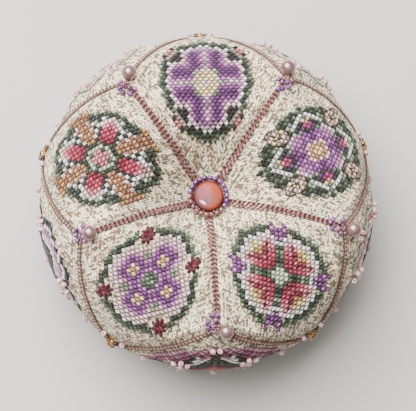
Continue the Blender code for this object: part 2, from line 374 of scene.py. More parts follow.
def new_piece(name, points, faces, material, uv=None, colours=None):
    """A smooth mesh object. uv is one pair for each face corner, colours one for each vertex."""
    mesh = bpy.data.meshes.new(name)
    mesh.from_pydata(np.asarray(points).tolist(), [], faces)
    mesh.shade_smooth()
    if uv is not None:
        mesh.uv_layers.new(name="threads").data.foreach_set("uv", np.asarray(uv, np.float32).ravel())
    if colours is not None:
        layer = mesh.color_attributes.new("dye_and_painted_shade", "FLOAT_COLOR", "POINT")
        layer.data.foreach_set("color", np.asarray(colours, np.float32).ravel())
    mesh.materials.append(material)
    obj = new_object(name, mesh)
    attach(obj, "root")
    return obj


def connect(tree, node, inputs):
    """Sets or links inputs by name or number: to a value, a socket, or a node's first output."""
    for key, value in inputs.items():
        if isinstance(value, bpy.types.Node):
            value = next(output for output in value.outputs if output.enabled)
        if isinstance(value, bpy.types.NodeSocket):
            tree.links.new(value, node.inputs[key])
        else:
            node.inputs[key].default_value = value


def add_node(tree, kind, inputs=None, stops=(), **settings):
    """Adds a node with its options, its inputs and, on a colour ramp, its (place, hex) stops."""
    node = tree.nodes.new("ShaderNode" + kind)
    for key, value in settings.items():
        setattr(node, key, value)
    connect(tree, node, inputs or {})
    for n, (place, code) in enumerate(stops):
        elements = node.color_ramp.elements
        element = elements[n] if n < len(elements) else elements.new(place)
        element.position = place
        element.color = linear(code)
    return node


def new_material(name, look, **sockets):
    """A material whose Principled shader has these plain sockets.

    look takes the function that adds a node, and gives the shader's other inputs.
    """
    material = bpy.data.materials.new(name)
    material.use_nodes = True
    tree = material.node_tree
    shader = tree.nodes["Principled BSDF"]
    connect(tree, shader, {key.replace("_", " "): value for key, value in sockets.items()})
    connect(tree, shader, look(partial(add_node, tree)))
    return material


def clouded(add, size, detail, stops):
    """Colours that change softly from place to place, in clouds of this size."""
    place = add("TexCoord").outputs["Object"]
    cloud = add("TexNoise", {"Vector": place, "Scale": 1 / size, "Detail": detail})
    return add("ValToRGB", {"Fac": cloud}, stops)


def linen_look(add):
    """Evenweave linen, plain woven from slubby flax thread, washed and matt.

    The UV map counts threads. |sin(pi x)| is the round back of a warp thread, |sin(pi y)| of a
    weft thread, and the sign of their product says which of the two lies on top. Threads are
    0.8 mm apart. Every 2 mm of a thread has a tone of its own, as flax takes its bleach unevenly,
    and the gaps at the corners of the crossings, some tight and some loose, are darkened with a
    painted shade.
    The mesh's colour attribute paints shade on the cloth between the embroidery stitches.
    """
    threads = add("UVMap", uv_map="threads")
    split = add("SeparateXYZ", {"Vector": threads})
    waves = []
    for axis in ("X", "Y"):
        turn = add("Math", {0: split.outputs[axis], 1: math.pi}, operation="MULTIPLY")
        waves.append(add("Math", {0: turn}, operation="SINE"))
    backs = [add("Math", {0: wave}, operation="ABSOLUTE") for wave in waves]
    over = add("Math", {0: waves[0], 1: waves[1]}, operation="MULTIPLY")
    over = add("MapRange", {"Value": over, "From Min": -0.3, "From Max": 0.3})
    height = add("Mix", {"Factor": over, "A": backs[1], "B": backs[0]}, data_type="FLOAT")
    lengths = []
    for stretch in ((1, 0.4, 1), (0.4, 1, 1)):
        length = add("Mapping", {"Vector": threads, "Scale": stretch})
        length = add("VectorMath", {0: length}, operation="FLOOR")
        length = add("TexWhiteNoise", {"Vector": length}, noise_dimensions="2D")
        lengths.append(length.outputs["Color"])
    fleck = add("Mix", {"Factor": over, "A": lengths[1], "B": lengths[0]}, data_type="RGBA")
    fleck = add("SeparateColor", {"Color": fleck})
    slub_map = add("Mapping", {"Vector": threads, "Scale": (0.11, 0.9, 1)})
    slub = add("TexNoise", {"Vector": slub_map, "Scale": 1.0, "Detail": 2.0})
    mottle = add("TexNoise", {"Vector": threads, "Scale": 0.42, "Detail": 3.0, "Roughness": 0.65})
    cloud = add("TexNoise", {"Vector": threads, "Scale": 0.06, "Detail": 2.0})
    tone = -0.46
    for part, share in ((slub, 0.4), (mottle, 1.15), (fleck.outputs["Red"], 0.95)):
        tone = add("Math", {0: part, 1: share, 2: tone}, operation="MULTIPLY_ADD")
    fibre = add("ValToRGB", {"Fac": tone}, (
        (0.48, "#67624C"), (0.62, "#A29A7C"), (0.74, "#D9D0B4"), (0.85, "#F8F3E2"), (0.96, "#FFFFFF"),
    ))
    hue = add("Math", {0: fleck.outputs["Green"], 1: cloud}, operation="ADD")
    tint = add("ValToRGB", {"Fac": hue}, ((0.7, "#DEE6C0"), (0.95, "#FFEBCA"), (1.0, "#FFD7C2")))
    dyed = add("Mix", {"Factor": 0.9, "A": fibre, "B": tint}, **MULTIPLIED)
    low = [add("Math", {0: 1.0, 1: back}, operation="SUBTRACT") for back in backs]
    hole = add("Math", {0: low[0], 1: low[1]}, operation="MULTIPLY")
    hole = add("MapRange", {"Value": hole, "From Min": 0.01, "From Max": 0.2})
    nearest = add("VectorMath", {0: threads, 1: (0.5, 0.5, 0)}, operation="ADD")
    nearest = add("VectorMath", {0: nearest}, operation="FLOOR")
    loose = add("TexWhiteNoise", {"Vector": nearest}, noise_dimensions="2D")
    open_share = add("MapRange", {"Value": loose, "To Min": 0.05, "To Max": 1.4})
    deep = add("Math", {0: hole, 1: open_share}, operation="MULTIPLY", use_clamp=True)
    # Painted shade: the gaps between the threads are darkened
    woven = add("Mix", {"Factor": deep, "A": dyed, "B": linear("#3C3B2C")}, data_type="RGBA")
    # Painted shade between the embroidery stitches, from the mesh's colour attribute
    shade = add("Attribute", attribute_name="dye_and_painted_shade")
    shaded = add("Mix", {"Factor": 1.0, "A": woven, "B": shade}, **MULTIPLIED)
    lumpy = add("Math", {0: slub, 1: 0.6, 2: height}, operation="MULTIPLY_ADD")
    bump = add("Bump", {"Height": lumpy, "Strength": 0.8, "Distance": 0.3 * MM})
    return {"Base Color": shaded, "Normal": bump}


def cotton_look(add):
    """Stranded embroidery cotton, mercerised and dyed: silky, with a fine slanting twist.

    Each thread's dye, with a painted shade along its sides and at its ends, is in the mesh's colour
    attribute. The UV map gives millimetres along the thread and the share of its width across, so
    the ply ridges slant at half a millimetre.
    """
    dye_and_painted_shade = add("Attribute", attribute_name="dye_and_painted_shade")
    place = add("SeparateXYZ", {"Vector": add("UVMap", uv_map="threads")}).outputs
    slant = add("Math", {0: place["Y"], 1: 6.0, 2: place["X"]}, operation="MULTIPLY_ADD")
    turn = add("Math", {0: slant, 1: 2 * math.pi / 0.5}, operation="MULTIPLY")
    ply = add("Math", {0: turn}, operation="SINE")
    fibres = add("TexCoord").outputs["Object"]
    fuzz = add("TexNoise", {"Vector": fibres, "Scale": 1 / (0.5 * MM), "Detail": 2.0})
    shade = {"Value": fuzz, "From Min": 0.3, "From Max": 0.7, "To Min": 0.68, "To Max": 1.12}
    tone = add("Mix", {"Factor": 1.0, "A": dye_and_painted_shade, "B": add("MapRange", shade)}, **MULTIPLIED)
    bump = add("Bump", {"Height": ply, "Strength": 0.5, "Distance": 0.08 * MM})
    return {"Base Color": tone, "Normal": bump}


def bead_glass(name, dark, light, roughness=0.12, metallic=0.0):
    """Pressed seed-bead glass, fire polished: hard small highlights, each bead a little different."""
    def look(add):
        body = clouded(add, 1.5 * MM, 1.0, ((0.35, dark), (0.65, light)))
        dye_and_painted_shade = add("Attribute", attribute_name="dye_and_painted_shade")
        return {"Base Color": add("Mix", {"Factor": 1.0, "A": body, "B": dye_and_painted_shade}, **MULTIPLIED)}

    return new_material(
        name, look, Roughness=roughness, Metallic=metallic, Coat_Weight=0.8, Coat_Roughness=0.05,
    )


def pearl_look(add):
    """Glass pearl, dipped in pearl lacquer: rose beige, a little clouded, broad sheen, clear gloss."""
    return {"Base Color": clouded(add, 3 * MM, 2.0, ((0.35, "#5A3C3C"), (0.65, "#6C4C4A")))}


def button_look(add):
    """Pressed glass with bands drawn through it: salmon with lavender, cream and tan streaks.

    The streaks are a noise stretched along X, greyer at its left and more tan at its right. A pale
    patch near the lower left edge is a painted highlight, and the rim is deeper in colour.
    """
    place = add("TexCoord").outputs["Object"]
    drawn = add("Mapping", {"Vector": place, "Scale": STREAK_SCALE})
    streaks = add("TexNoise", {"Vector": drawn, "Scale": 1.0, "Detail": 3.0, "Distortion": 0.6})
    bands = add("ValToRGB", {"Fac": streaks}, (
        (0.32, "#6E4E58"), (0.40, "#7E4C4C"), (0.45, "#8C4038"), (0.52, "#96443A"), (0.56, "#A26044"),
        (0.60, "#8C5434"), (0.66, "#904038"),
    ))
    across = add("SeparateXYZ", {"Vector": place}).outputs["X"]
    ends = {"From Min": AXIS[0] - 4 * MM, "From Max": AXIS[0] + 4 * MM}
    share = add("MapRange", {"Value": across, **ends})
    side = add("ValToRGB", {"Fac": share}, ((0.15, "#D2D8EE"), (0.5, "#FFFFFF"), (0.85, "#FFF4C4")))
    glass = add("Mix", {"Factor": 1.0, "A": bands, "B": side}, **MULTIPLIED)
    inside = []
    for middle, turn, size in (PAINTED_GLINT, DISC):
        disc = {"Vector": place, "Location": middle, "Rotation": (0, 0, math.radians(turn)), "Scale": size}
        disc = add("Mapping", disc, vector_type="TEXTURE")
        inside.append(add("TexGradient", {"Vector": disc}, gradient_type="SPHERICAL").outputs["Fac"])
    # Painted highlight: a pale patch near the lower left of the dome
    glint_share = add("MapRange", {"Value": inside[0], "To Max": 0.9})
    glass = add("Mix", {"Factor": glint_share, "A": glass, "B": linear("#FFF1E8")}, data_type="RGBA")
    rim = add("ValToRGB", {"Fac": inside[1]}, ((0.08, "#8A6258"), (0.3, "#FFFFFF")))
    return {"Base Color": add("Mix", {"Factor": 1.0, "A": glass, "B": rim}, **MULTIPLIED)}


def tabletop_look(add):
    """Painted board, matt: pale grey, very faintly clouded."""
    return {"Base Color": clouded(add, 1 / 9, 3.0, ((0.3, "#ACA9A4"), (0.7, "#B2AFAA")))}


# Threads

# Places along a thread, and how high it stands there as a share of its lift, laid or whipped
THREAD_PLACES = np.array([0.0, 0.14, 0.5, 0.86, 1.0])
LAID_ARCH = np.array([-0.1, 0.45, 1.0, 0.45, -0.1])
WHIPPED_ARCH = np.array([-0.3, 0.6, 1.0, 0.6, -0.3])
# The section round a thread, across and up, and how full it is along the thread
RING_SIDE = np.array([-1.0, -0.55, 0.55, 1.0])
RING_UP = np.array([0.0, 1.0, 1.0, 0.0])
RING_FULL = np.array([0.82, 1.0, 0.82])
# Painted shade: threads are darker where they dip into the cloth and along their sides, where they
# would shade each other
SIDE_SHADE = np.array([0.32, 1.08, 1.08, 0.32])
DIP_SHADE = np.array([0.52, 1.02, 0.52])
END_SHADE = 0.25
# Painted shade: how much of its colour the cloth keeps between the stitches that would shade it
WORKED_SHADE = 0.3

# Thickness of the threads, and how high the straight stitches and those of the seams arch
STITCH_HEIGHT = 0.3 * MM
SEAM_HEIGHT = 0.34 * MM
LINE_LIFT = 0.45 * MM
ROW_LIFT = 0.22 * MM
TICK_LIFT = 2.2 * ROW_LIFT
WHIPPED_LIFT = 0.42 * MM
# The arms of a cross: two corners of the cell, arch and half the width in millimetres, and a painted shade
ARMS = (((0, 0), (1, 1), 0.08, 0.5, 0.5), ((1, 0), (0, 1), 0.26, 0.46, 1.0))
# How far corners stray, in stitches, and how unevenly the arms arch
STRAY = 0.04
UNEVEN_LIFT = 0.1
# Straight stitches: the usual length in stitches, and half the width in millimetres
LINE_STITCH = 1.6
LINE_WIDTH = 0.33
BOLD_WIDTH = 0.72
SEAM_DYE_SPREAD = 0.18


def threads(name, lines, normals, half_width, height, dyes):
    """Laid threads as closed slender bodies, all worked out together.

    Each thread is a centre line of five points. At the middle three a four-sided section
    c + w x s + h y n stands round the line, s = tangent x normal, with x and y from RING_SIDE and
    RING_UP; the two end points close it where it enters the cloth, which makes fourteen points to
    a body. None reaches below the table.
    """
    count = len(lines)
    mid_normals = normals[:, 1:-1]
    side = unit(np.cross(unit(lines[:, 2:] - lines[:, :-2]), mid_normals))
    full = RING_FULL[None, :, None, None]
    wide = (half_width[:, None, None] * RING_SIDE)[..., None] * side[:, :, None] * full
    tall = (height * RING_UP)[:, None] * mid_normals[:, :, None] * full
    rings = lines[:, 1:-1, None] + wide + tall
    points = np.concatenate([lines[:, :1], rings.reshape(count, 12, 3), lines[:, -1:]], axis=1)
    points[..., 2] -= np.minimum(points[..., 2].min(axis=1, keepdims=True), 0)
    end, last_ring = 13, 9
    quads, caps = [], []
    for j in range(4):
        following = (j + 1) % 4
        caps += [(0, 1 + following, 1 + j), (end, last_ring + j, last_ring + following)]
        for r in (1, 5):
            quads.append((r + j, r + following, r + 4 + following, r + 4 + j))
    first = (end + 1) * np.arange(count)[:, None, None]
    quads = (np.array(quads)[None] + first).reshape(-1, 4)
    caps = (np.array(caps)[None] + first).reshape(-1, 3)
    length = np.linalg.norm(lines[:, -1] - lines[:, 0], axis=-1) / MM
    along = np.concatenate([[0.0], np.repeat(THREAD_PLACES[1:-1], 4), [1.0]])
    across = np.concatenate([[0.5], np.tile([0.0, 0.35, 0.65, 1.0], 3), [0.5]])
    uv = np.stack([length[:, None] * along, np.tile(across, (count, 1))], -1).reshape(-1, 2)
    # Painted shade: darker along the thread's sides and where it dips into the cloth
    shade = np.concatenate([[END_SHADE], np.outer(DIP_SHADE, SIDE_SHADE).ravel(), [END_SHADE]])
    colours = np.ones((count, end + 1, 4))
    colours[..., :3] = dyes[:, None, :3] * shade[None, :, None]
    corners = np.concatenate([quads.ravel(), caps.ravel()])
    faces = quads.tolist() + caps.tolist()
    points = points.reshape(-1, 3)
    return new_piece(name, points, faces, COTTON, uv[corners], colours)


class Cloth:
    """The finished cushion surface, for laying things on it."""

    def __init__(self, grids):
        self.grids = grids
        self.normals = normals_of(grids)
        points, number = weld(grids)
        self.tree = BVHTree.FromPolygons(points.tolist(), grid_faces(number).tolist())

    def at(self, panel, u, v):
        """Points and normals at (u, v), blended between the four nearest grid points."""
        n = self.grids.shape[1] - 1
        x, y = np.clip(u * n, 0, n), np.clip(v * n, 0, n)
        i, j = np.minimum(x.astype(int), n - 1), np.minimum(y.astype(int), n - 1)
        f, g = (x - i)[..., None], (y - j)[..., None]
        found = []
        for field in (self.grids, self.normals):
            low = field[panel, i, j] * (1 - f) + field[panel, i + 1, j] * f
            high = field[panel, i, j + 1] * (1 - f) + field[panel, i + 1, j + 1] * f
            found.append(low * (1 - g) + high * g)
        return found[0], unit(found[1])

    def rest_point(self, start, inwards, radius):
        """Centre of a bead of this radius that is pushed onto the cloth from outside."""
        hit, normal, _, _ = self.tree.ray_cast(Vector(start), Vector(inwards))
        point = hit + normal * radius
        for _ in range(12):
            near, _, _, distance = self.tree.find_nearest(point)
            if distance >= radius:
                break
            point += (point - near).normalized() * (radius - distance)
        return np.array(point)


def eased(panel, counted):
    """Where a place counted in threads or stitches lies on a square's grid, both as shares of a side.

    With h = s - 1/2 it is 1/2 + h (EASE + 4 (1 - EASE) h h) - 4 TOWARDS_POLE s (1 - s), and the
    side squares have no shift.
    """
    h = counted - 0.5
    shift = 0.0 if FOLDS <= panel < 2 * FOLDS else TOWARDS_POLE[panel % FOLDS]
    return 0.5 + h * (EASE + 4 * (1 - EASE) * h * h) - 4 * shift * counted * (1 - counted)


def laid_lines(cloth, panel, starts, ends, lift):
    """Centre lines over the cloth between two places on its grid; they rise to lift and enter the cloth."""
    t = THREAD_PLACES[None, :, None]
    place = starts[:, None] + t * (ends - starts)[:, None]
    points, normals = cloth.at(panel, place[..., 0], place[..., 1])
    rise = np.reshape(lift, (-1, 1)) * LAID_ARCH
    return points + normals * rise[..., None], normals


def roundel_cells(chart):
    """Every cell of a roundel: each cell of the eighth, with a and b swapped, in all four quarters."""
    cells = {}
    for b, row in enumerate(chart.split()):
        for a, letter in enumerate(row, start=b):
            for x, y in ((a, b), (b, a)):
                for i in (x, -1 - x):
                    for j in (y, -1 - y):
                        cells[(i, j)] = letter
    return {place: letter for place, letter in cells.items() if letter != "."}


def dye_of(letters):
    """Linear colours of chart letters, each a little lighter or darker than the next."""
    dyes = np.array([linear(THREAD_COLOURS[letter]) for letter in letters])
    spread = np.array([GREEN_SPREAD if letter in GREENS else DYE_SPREAD for letter in letters])
    dyes[:, :3] *= np.exp(RANDOM.normal(0, 1, len(dyes)) * spread)[:, None]
    return np.clip(dyes, 0, 1)


def shade_of_cloth(counted, charts):
    """Painted shade of the cloth at each grid point, for each panel: WORKED_SHADE between the stitches
    of its chart, 1 elsewhere, and the mean of the cells that meet there at the edge of a roundel.
    """
    worked = np.zeros((len(counted), STITCHES, STITCHES))
    for panel, chart in enumerate(charts):
        cells = np.array(list(roundel_cells(chart))) + STITCHES // 2
        worked[panel, cells[:, 0], cells[:, 1]] = 1
    panels = np.arange(len(counted))[:, None, None]
    near = [np.clip(np.floor(counted / 2 + shift).astype(int), 0, STITCHES - 1) for shift in (-0.25, 0.25)]
    share = np.mean([worked[panels, i[:, :, None], j[:, None, :]] for i in near for j in near], axis=0)
    return 1 - (1 - WORKED_SHADE) * share


def cross_stitches(cloth, panel, chart):
    """Two arms to a cell, corner to corner, the second laid over the first, which has a painted shade."""
    cells = roundel_cells(chart)
    corner = np.array(list(cells)) + STITCHES / 2
    dyes = dye_of(list(cells.values()))
    arms = []
    for *corners, arch, half_width, tone in ARMS:
        strays = RANDOM.normal(0, STRAY, (2, len(corner), 2))
        lift = arch * MM * RANDOM.normal(1, UNEVEN_LIFT, len(corner))
        ends = [eased(panel, (corner + at + stray) / STITCHES) for at, stray in zip(corners, strays)]
        line, normal = laid_lines(cloth, panel, *ends, lift)
        # Painted shade: the arm laid under is darkened by its tone
        arms.append((line, normal, np.full(len(corner), half_width * MM), dyes * [tone, tone, tone, 1.0]))
    return [np.concatenate(pair) for pair in zip(*arms)]


def straight_stitches(cloth, panel, drawn):
    """Backstitched lines, mirrored into all eighths and cut into stitches of about one cell."""
    mirrored = {}
    for letter, *line in drawn:
        line = np.array(line).reshape(2, 2)
        for places in (line, line[:, ::-1]):
            for signs in ((1, 1), (1, -1), (-1, 1), (-1, -1)):
                mirrored[tuple(np.round(places * signs, 3).ravel() + 0.0)] = letter
    starts, ends, letters = [], [], []
    for line, letter in mirrored.items():
        start, end = np.array(line).reshape(2, 2)
        pieces = max(1, round(math.dist(start, end) / LINE_STITCH))
        cuts = chord(start, end, np.linspace(0, 1, pieces + 1))
        starts.append(cuts[:-1])
        ends.append(cuts[1:])
        letters += [letter] * pieces
    places = [eased(panel, np.concatenate(cuts) / STITCHES + 0.5) for cuts in (starts, ends)]
    lines, normals = laid_lines(cloth, panel, *places, LINE_LIFT)
    half_width = np.array([BOLD_WIDTH if letter == BOLD else LINE_WIDTH for letter in letters]) * MM
    return lines, normals, half_width, dye_of(letters)


def make_roundel(name, cloth, panel, chart, drawn):
    parts = [cross_stitches(cloth, panel, chart)]
    if drawn:
        parts.append(straight_stitches(cloth, panel, drawn))
    lines, normals, half_width, dyes = (np.concatenate(pair) for pair in zip(*parts))
    return threads(name, lines, normals, half_width, STITCH_HEIGHT, dyes)


# Seams

def seams(group):
    """Every seam of a group as two panels and two functions from (t, d) to (u, v) on them.

    t runs along the seam and d is the distance from it, both as shares of a side.
    """
    found = []
    for k in range(FOLDS):
        before, after = (k - 1) % FOLDS, (k + 1) % FOLDS
        top, side, base = k, FOLDS + k, 2 * FOLDS + k
        found += {
            "top": [(top, lambda t, d: (t, d), before, lambda t, d: (d, t))],
            "rim": [
                (top, lambda t, d: (1 - d, t), side, lambda t, d: (d, t)),
                (top, lambda t, d: (t, 1 - d), FOLDS + after, lambda t, d: (t, d)),
                (side, lambda t, d: (1 - d, 1 - t), 2 * FOLDS + before, lambda t, d: (1 - d, t)),
                (side, lambda t, d: (1 - t, 1 - d), base, lambda t, d: (t, 1 - d)),
            ],
            "base": [(base, lambda t, d: (d, t), 2 * FOLDS + before, lambda t, d: (t, d))],
        }[group]
    return found


def whipped(cloth, seam, t, d, slant):
    """Slanting stitches over a seam: straight from one panel to the other, and arched."""
    panel_a, place_a, panel_b, place_b = seam
    a, normal_a = cloth.at(panel_a, *place_a(t + slant, d))
    b, normal_b = cloth.at(panel_b, *place_b(t - slant, d))
    share = THREAD_PLACES[None, :, None]
    points = a[:, None] + share * (b - a)[:, None]
    normals = unit(normal_a[:, None] * (1 - share) + normal_b[:, None] * share)
    return points + normals * (WHIPPED_LIFT * WHIPPED_ARCH)[:, None], normals


def make_seams(cloth, group, spread, change, style):
    """Both panels are edged with backstitches, and the two rows are whipped together stitch by stitch.

    The rows lie spread + change * t millimetres from the seam. Short stitches slant across each
    backstitch, from half its distance to half as much again. style is TOP_SEAM or RIM_SEAM.
    """
    step = 1 / STITCHES
    first = np.arange(STITCHES) * step
    middle, last = first + 0.5 * step, first + step
    d = (spread + change * middle) * MM / SIDE
    row, rung, tick = style
    parts = []
    for seam in seams(group):
        for panel, place, slant in ((*seam[0:2], SLANT * step), (*seam[2:4], -SLANT * step)):
            near, far = (middle + 0.5 * slant, 0.5 * d), (middle + 1.5 * slant, 1.5 * d)
            beside = ((first, d), (last, d), ROW_LIFT, row), (near, far, TICK_LIFT, tick)
            for *ends, lift, thread in beside:
                ends = [np.stack(place(*end), -1) for end in ends]
                parts.append((*laid_lines(cloth, panel, *ends, lift), thread))
        parts.append((*whipped(cloth, seam, middle, d, SLANT * step), rung))
    lines, normals = (np.concatenate([part[n] for part in parts]) for n in (0, 1))
    half_width = np.repeat([half * MM for _, _, (_, half) in parts], STITCHES)
    dyes = np.repeat([linear(code) for _, _, (code, _) in parts], STITCHES, 0)
    dyes[:, :3] *= RANDOM.normal(1.0, SEAM_DYE_SPREAD, (len(dyes), 1))
    return threads(f"seams_{group}", lines, normals, half_width, SEAM_HEIGHT, np.clip(dyes, 0, 1))


# Beads

def turned_bead(sides, profile):
    """Closed ring-shaped surface round +X from a profile of (radius, place along the axis)."""
    radius, along = np.array(profile).T
    turn = 2 * math.pi * np.arange(sides)[:, None] / sides
    level = np.broadcast_to(along, (sides, len(along)))
    points = np.stack([level, radius * np.cos(turn), radius * np.sin(turn)], -1)
    n = len(along)
    i, j = np.meshgrid(np.arange(sides), np.arange(n), indexing="ij")
    i2, j2 = (i + 1) % sides, (j + 1) % n
    faces = np.stack([i * n + j, i * n + j2, i2 * n + j2, i2 * n + j], -1).reshape(-1, 4)
    return points.reshape(-1, 3), faces


SEED_PROFILE = ((0.34, -0.66), (0.76, -0.86), (1.0, -0.42), (1.0, 0.42), (0.76, 0.86), (0.34, 0.66))
SEED = turned_bead(10, SEED_PROFILE)
LONG_SEED = turned_bead(10, np.array(SEED_PROFILE) * (1, 1.22))


def bead_set(name, shape, centres, axes, radius, dyes, material):
    """Copies of one bead shape, scaled, with the thread hole along each given axis."""
    points, faces = shape
    along = unit(np.array(axes))
    helper = np.where(np.abs(along[:, 2:]) < 0.9, [[0.0, 0.0, 1.0]], [[1.0, 0.0, 0.0]])
    side = unit(np.cross(helper, along))
    frames = np.stack([along, side, np.cross(along, side)], 1)
    placed = np.einsum("pc,bcd->bpd", points, frames) * radius + np.array(centres)[:, None]
    first = len(points) * np.arange(len(centres))[:, None, None]
    all_faces = (faces + first).reshape(-1, faces.shape[1]).tolist()
    colours = np.repeat(dyes, len(points), 0)
    return new_piece(name, placed.reshape(-1, 3), all_faces, material, colours=colours)


def shades(count, spread, tint=(1.0, 1.0, 1.0)):
    """One slightly different colour to a bead."""
    dyes = np.ones((count, 4))
    dyes[:, :3] = np.array(tint) * RANDOM.normal(1.0, spread, (count, 1))
    return np.clip(dyes, 0, 1.5)


def pearl_shape():
    """Ball with a drilled hole: a half circle of the ball, closed by the hole's straight wall."""
    hole = 0.14
    turn = np.linspace(-math.acos(hole), math.acos(hole), 25)
    outside = [(math.cos(a), math.sin(a)) for a in turn]
    return turned_bead(40, outside + [(hole, 0.5), (hole, -0.5)])


def middle_of(node):
    low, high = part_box(node)
    return np.array((low + high) / 2)


def outwards(k):
    azimuth = FIRST_PEARL + k * TURN
    return polar(math.cos(PEARL_LEAN), azimuth, math.sin(PEARL_LEAN))


def towards_purple(k):
    """Direction square to the corner's outward one that points from pearl k to its purple beads."""
    out = outwards(k)
    level = polar(1, math.radians(PURPLE_SIDES[k]), 0)
    level[2] = -level.dot(out) / out[2]
    return unit(level)


def make_pearls(cloth):
    shape = pearl_shape()
    for k in range(FOLDS):
        node = f"pearl_{k + 1}"
        centre = middle_of(node)
        hole = np.cross(outwards(k), towards_purple(k))
        dyes = shades(1, 0.03)
        pearl = bead_set(f"drilled_{node}", shape, [centre], [hole], PEARL_BEAD_R, dyes, PEARL)
        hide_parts(node)
        make_purple_seeds(k, centre, cloth)


def make_purple_seeds(k, pearl, cloth):
    """Two short arcs of seed beads about a pearl, four mauve near it and three darker outside them."""
    out, middle = outwards(k), towards_purple(k)
    sideways = np.cross(out, middle)
    inner = PEARL_BEAD_R + SEED_R + 2 * GAP
    centres, axes = [], []
    for ring, beads in ((inner, 4), (inner + 2 * SEED_R + GAP, 3)):
        for n in range(beads):
            turn = 2 * SEED_R / ring * (n - 0.5 * (beads - 1))
            offset = ring * (math.cos(turn) * middle + math.sin(turn) * sideways)
            centres.append(cloth.rest_point(pearl + offset + SEED_DROP * out, -out, SEED_R))
            axes.append(math.cos(turn) * sideways - math.sin(turn) * middle)
    dyes = np.concatenate([shades(4, 0.2, (1.2, 0.95, 0.85)), shades(3, 0.2, (0.75, 0.65, 0.8))])
    seeds = bead_set(
        f"purple_seeds_{k + 1}", SEED, centres, axes, SEED_R, dyes, PURPLE_GLASS
    )
    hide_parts(f"purple_beads_{k + 1}_inner", f"purple_beads_{k + 1}_outer")


def make_gold_seeds():
    """Four gold-lined seeds in a square at each corner of the rim."""
    tints = ((1.0, 1.0, 1.0), (1.25, 1.15, 0.9), (0.45, 0.4, 0.5), (0.9, 0.7, 0.6))
    for k in range(FOLDS):
        node = f"gold_beads_{k + 1}"
        middle = middle_of(node)
        level, up = polar(1, FIRST_GOLD + k * TURN + math.pi / 2, 0), polar(0, 0, 1)
        centres, axes, dyes = [], [], []
        for n in range(4):
            turn = math.pi / 4 + n * math.pi / 2
            centres.append(middle + SEED_R * math.sqrt(2) * (math.cos(turn) * level + math.sin(turn) * up))
            axes.append(math.cos(turn) * up - math.sin(turn) * level)
            dyes.append(shades(1, 0.05, tints[(n + k) % 4])[0])
        seeds = bead_set(f"gold_seeds_{k + 1}", SEED, centres, axes, SEED_R, dyes, GOLD_GLASS)
        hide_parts(node)


def sewn_seeds(cloth, panels, spots, height):
    """Middles and thread directions of seeds on the cloth, at spots in stitches from a square's middle."""
    spots = (np.array(spots) + STITCHES / 2) / STITCHES
    points, normals = cloth.at(np.array(panels), spots[:, 0], spots[:, 1])
    return points + normals * height, np.cross(normals, RANDOM.normal(0, 1, normals.shape))


def make_amber_seeds(cloth):
    """Loose gold and dark seeds sewn to the top squares at each corner of the rim."""
    places = ((14.2, 13.1), (13.1, 14.2), (13.4, 13.4), (14.1, 12.0))
    tints = ((1.0, 1.0, 1.0), (0.22, 0.2, 0.3), (1.5, 1.6, 2.2), (0.5, 0.4, 0.4))
    panels = np.repeat(np.arange(FOLDS), len(places))
    centres, axes = sewn_seeds(cloth, panels, places * FOLDS, SEED_R)
    dyes = np.concatenate([shades(1, 0.05, tint) for tint in tints * FOLDS])
    bead_set("amber_seeds", SEED, centres, axes, SEED_R, dyes, GOLD_GLASS)


def make_pale_seeds(cloth):
    """Pearly seeds sewn to the side squares, and two beside the gold ones on each top square."""
    accent, pair_at, apart = 9.7, 10.4, 0.9
    places = [(0.0, 0.0)]
    quarters = [(sx, sy) for sx in (-1, 1) for sy in (-1, 1)]
    for dx, dy in ((1, 0), (-1, 0), (0, 1), (0, -1)):
        places += [(accent * dx + apart * sx, accent * dy + apart * sy) for sx, sy in quarters]
    for dx, dy in quarters:
        places += [(pair_at * dx - s * dy, pair_at * dy + s * dx) for s in (-0.5, 0.5)]
    panels, spots = [], []
    for k in range(FOLDS):
        panels += [FOLDS + k] * len(places) + [k, k]
        spots += places + [(11.0, 14.0), (14.0, 11.0)]
    centres, axes = sewn_seeds(cloth, panels, spots, PALE_SEED_R + 0.1 * MM)
    dyes = shades(len(centres), 0.08)
    bead_set("pale_seeds", SEED, centres, axes, PALE_SEED_R, dyes, PALE_GLASS)


def make_button():
    """Domed button: a low drum with a rounded edge and a shallow dome, turned from one profile.

    The profile is (share of the radius, share of the height); its two ends are single points.
    """
    radius, height = 0.5 * (BUTTON_HIGH.x - BUTTON_LOW.x), BUTTON_HIGH.z - BUTTON_LOW.z
    edge = [(0.8, 0.0), (0.93, 0.06), (0.99, 0.2), (1.0, 0.34)]
    turn = np.linspace(0, math.pi / 2, 14)[1:-1]
    out, up = np.array(edge + [(math.cos(a), 0.42 + 0.58 * math.sin(a)) for a in turn]).T[..., None]
    sides = 72
    around = 2 * math.pi * np.arange(sides) / sides
    level = np.broadcast_to(BUTTON_LOW.z + height * up, (len(up), sides))
    rings = [radius * out * np.cos(around) + AXIS[0], radius * out * np.sin(around) + AXIS[1], level]
    ends = [(AXIS[0], AXIS[1], z) for z in (BUTTON_LOW.z, BUTTON_HIGH.z)]
    points = np.concatenate([np.stack(rings, -1).reshape(-1, 3), ends])
    i = np.arange(sides)
    j = (i + 1) % sides
    row = sides * np.arange(len(up) - 1)[:, None]
    last = row[-1] + sides
    bottom = np.stack([np.full(sides, len(points) - 2), j, i], -1)
    top = np.stack([np.full(sides, len(points) - 1), last + i, last + j], -1)
    walls = np.stack([row + i, row + j, row + sides + j, row + sides + i], -1).reshape(-1, 4)
    faces = bottom.tolist() + top.tolist() + walls.tolist()
    button = new_piece("glass_button", points, faces, BANDED_GLASS)
    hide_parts("button")


